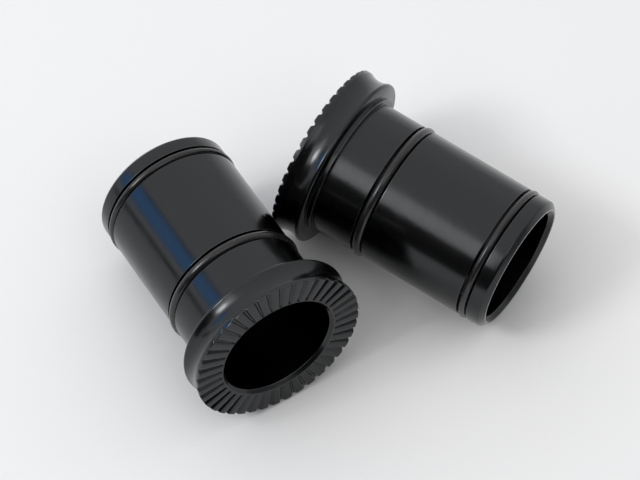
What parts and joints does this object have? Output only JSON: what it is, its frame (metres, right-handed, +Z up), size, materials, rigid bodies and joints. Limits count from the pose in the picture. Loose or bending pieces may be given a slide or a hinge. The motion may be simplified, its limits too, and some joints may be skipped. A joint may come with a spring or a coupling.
{
  "type": "bottom bracket converter sleeves",
  "caption": "Flanged converter sleeves for a bottom bracket, with toothed flange faces, through bores and rubber O-rings set in grooves.",
  "frame": {"origin": "middle of the box round both sleeves, on the surface that they lie on", "axes": "+Z up from that surface; +X along the middle direction of the two bores, towards the far end of the right sleeve; +Y from the left sleeve to the right one"},
  "size_m": [0.0716, 0.081, 0.0372],
  "materials": {
    "anodised_sleeve": "turned and black anodised, smooth with a soft gloss",
    "o_ring_rubber": "moulded black nitrile rubber, lightly oiled"
  },
  "bodies": {
    "left_sleeve": {"left_sleeve": "anodised_sleeve"},
    "left_flange_o_ring": {"left_flange_o_ring": "o_ring_rubber"},
    "left_end_o_ring": {"left_end_o_ring": "o_ring_rubber"},
    "right_sleeve": {"right_sleeve": "anodised_sleeve"},
    "right_flange_o_ring": {"right_flange_o_ring": "o_ring_rubber"},
    "right_end_o_ring": {"right_end_o_ring": "o_ring_rubber"}
  },
  "joints": [
    {"name": "right_sleeve_slide", "type": "slide", "parent": "left_sleeve", "child": "right_sleeve", "axis": [0, 1, 0], "range_m": [0, 0.06]},
    {"name": "left_flange_o_ring_turn", "type": "hinge", "parent": "left_sleeve", "child": "left_flange_o_ring", "pos_m": [-0.00329, -0.01862, 0.01719], "axis": [-0.9698, 0.225, -0.0946], "continuous": true},
    {"name": "left_end_o_ring_turn", "type": "hinge", "parent": "left_sleeve", "child": "left_end_o_ring", "pos_m": [-0.02772, -0.01295, 0.0148], "axis": [-0.9698, 0.225, -0.0946], "continuous": true},
    {"name": "right_flange_o_ring_turn", "type": "hinge", "parent": "right_sleeve", "child": "right_flange_o_ring", "pos_m": [0.00329, 0.01983, 0.01719], "axis": [0.9698, 0.225, -0.0946], "continuous": true},
    {"name": "right_end_o_ring_turn", "type": "hinge", "parent": "right_sleeve", "child": "right_end_o_ring", "pos_m": [0.02772, 0.0255, 0.0148], "axis": [0.9698, 0.225, -0.0946], "continuous": true}
  ]
}
